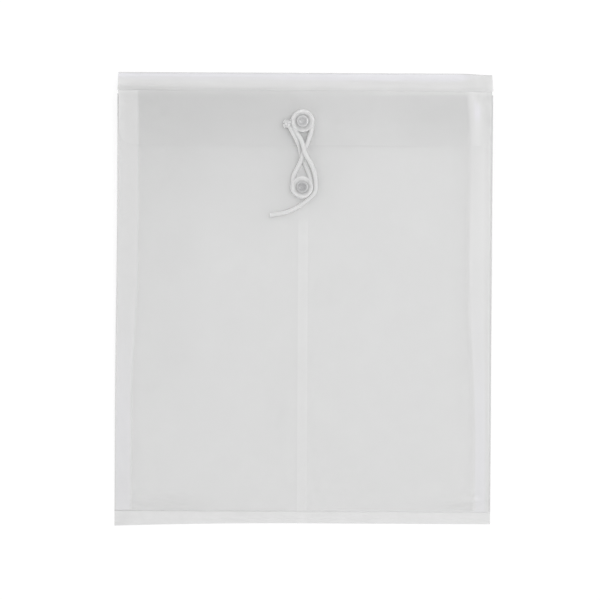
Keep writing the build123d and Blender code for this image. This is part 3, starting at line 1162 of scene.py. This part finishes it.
def add_rivet(material, name, node, body, seat, shine):
    """Rivet: a domed head, painted brighter at its rim, with a ring round its dimple, and a clinched tail.
    """
    top = head_lift + head_height
    tail_top = -film - washer_thickness
    tail_low = tail_top - tail_height
    small = 0.12 * mm
    ring_radius = (dimple_radius + head_radius) / 2
    centre = 0.02 * mm
    profile = [(centre, tail_low)]
    profile += arc(tail_radius - small, tail_low + small, small, -90, 0)
    profile += arc(tail_radius - small, tail_top - small, small, 0, 90)
    profile += [(shank_radius, tail_top), (shank_radius, head_lift)]
    profile += arc(head_radius - small, head_lift + small, small, -90, 0)
    profile += arc(head_radius - head_round, top - head_round, head_round, 0, 90)
    profile += [
        (ring_radius + 2 * small, top),
        (ring_radius + small, top - small),
        (ring_radius - small, top - small),
        (ring_radius - 2 * small, top),
        (dimple_radius + small, top),
        (dimple_radius - small, top - dimple_depth * 0.7),
        (dimple_radius * 0.6, top - dimple_depth),
        (dimple_radius * 0.25, top - dimple_depth * 0.8),
        (centre, top - dimple_depth * 0.75),
    ]

    # Painted shine, brighter towards the rim
    def painted_shine(radius):
        return shine + rim_painted_shine * ease(radius, 2.2 * mm, 3.5 * mm)

    shape = new_lathe(profile, rivet_segments, painted_shine)
    piece = make_piece(name, shape, material, None, [node])
    piece.matrix_world = seat
    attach(piece, body)


# Floor and light

def mix_seen(nodes, links, lighting, seen, output):
    """Joins what lights the envelope with what is seen, straight or by gloss or glass."""
    path = nodes.new("ShaderNodeLightPath")
    share = path.outputs["Is Camera Ray"]
    for ray in ("Is Glossy Ray", "Is Transmission Ray"):
        larger = nodes.new("ShaderNodeMath")
        larger.operation = "MAXIMUM"
        links.new(share, larger.inputs[0])
        links.new(path.outputs[ray], larger.inputs[1])
        share = larger.outputs["Value"]
    mix = nodes.new("ShaderNodeMixShader")
    links.new(share, mix.inputs["Fac"])
    links.new(lighting, mix.inputs[1])
    links.new(seen, mix.inputs[2])
    links.new(mix.outputs["Shader"], output.inputs["Surface"])


def add_floor():
    """Pale floor that reads white and keeps the soft shadow of the envelope."""
    mesh = bpy.data.meshes.new("floor")
    signs = ((-1, -1), (1, -1), (1, 1), (-1, 1))
    corners = [(x * floor_half, y * floor_half, floor_level) for x, y in signs]
    mesh.from_pydata(corners, [], [(0, 1, 2, 3)])
    floor = bpy.data.objects.new("floor", mesh)
    bpy.context.collection.objects.link(floor)
    material = bpy.data.materials.new("white_floor")
    material.use_nodes = True
    nodes = material.node_tree.nodes
    links = material.node_tree.links
    nodes.clear()
    output = nodes.new("ShaderNodeOutputMaterial")
    plain = nodes.new("ShaderNodeBsdfDiffuse")
    plain.inputs["Color"].default_value = grey(0.8)
    shaded = nodes.new("ShaderNodeBsdfDiffuse")
    shaded.inputs["Color"].default_value = grey(0.22)
    glow = nodes.new("ShaderNodeEmission")
    glow.inputs["Strength"].default_value = floor_glow
    seen = nodes.new("ShaderNodeAddShader")
    links.new(shaded.outputs["BSDF"], seen.inputs[0])
    links.new(glow.outputs["Emission"], seen.inputs[1])
    mix_seen(nodes, links, plain.outputs["BSDF"], seen.outputs["Shader"], output)
    mesh.materials.append(material)


def add_light():
    """Soft studio light: an even room and a broad lamp above the top right corner."""
    world = bpy.data.worlds.new("room")
    bpy.context.scene.world = world
    world.use_nodes = True
    nodes = world.node_tree.nodes
    links = world.node_tree.links
    nodes.clear()
    output = nodes.new("ShaderNodeOutputWorld")
    room = nodes.new("ShaderNodeBackground")
    room.inputs["Color"].default_value = grey(1)
    room.inputs["Strength"].default_value = room_strength
    seen = nodes.new("ShaderNodeBackground")
    seen.inputs["Color"].default_value = grey(1)
    seen.inputs["Strength"].default_value = 1.0
    mix_seen(nodes, links, room.outputs["Background"], seen.outputs["Background"], output)
    data = bpy.data.lights.new("softbox", "AREA")
    data.shape = "DISK"
    data.size = lamp_size
    data.energy = lamp_power
    lamp = bpy.data.objects.new("softbox", data)
    lamp.location = lamp_place
    lamp.rotation_euler = (-Vector(lamp.location)).to_track_quat("-Z", "Y").to_euler()
    bpy.context.collection.objects.link(lamp)


add_camera()
add_floor()
add_light()
bpy.context.scene.view_settings.view_transform = "Standard"
bpy.context.scene.cycles.transparent_max_bounces = 32

cord_white = string_material()
knot_stretch, string_path = parted_string()
knot = add_knot(cord_white, knot_stretch)
string = add_string(cord_white, string_path)
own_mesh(string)

clear_film = film_material()
fused = weld_material()
add_back_film(clear_film, "back_film_left", "back_panel_left", False)
add_back_film(clear_film, "back_film_right", "back_panel_right", True)
add_weld(fused)
add_front_film(clear_film)
add_pleat(clear_film, "left_pleat", -1, ["left_gusset_back", "left_gusset_front"])
add_pleat(clear_film, "right_pleat", 1, ["right_gusset_back", "right_gusset_front"])
add_spine(clear_film)
add_flap(clear_film)

clear_button = button_material()
rivet_metal = metal_material("rivet_metal", (0.36, 0.36, 0.365, 1), (0.66, 0.66, 0.665, 1), True)
washer_metal = metal_material("washer_metal", (0.5, 0.505, 0.51, 1), (0.62, 0.625, 0.63, 1), False)
# The upper rivet is given more painted shine than the lower
ties = (
    ("upper", upper_y, flap_surface, "flap", upper_painted_shine),
    ("lower", lower_y, front_surface, "pocket_front", lower_painted_shine),
)
for tie, y, surface, body, shine in ties:
    seat = seat_matrix(y, surface)
    add_button(clear_button, f"{tie}_tie_button", f"{tie}_button", f"{tie}_spool", seat)
    add_rivet(rivet_metal, f"{tie}_rivet_turned", f"{tie}_rivet", body, seat, shine)
    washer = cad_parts[f"{tie}_backing_washer"]
    washer.data.materials.clear()
    washer.data.materials.append(washer_metal)
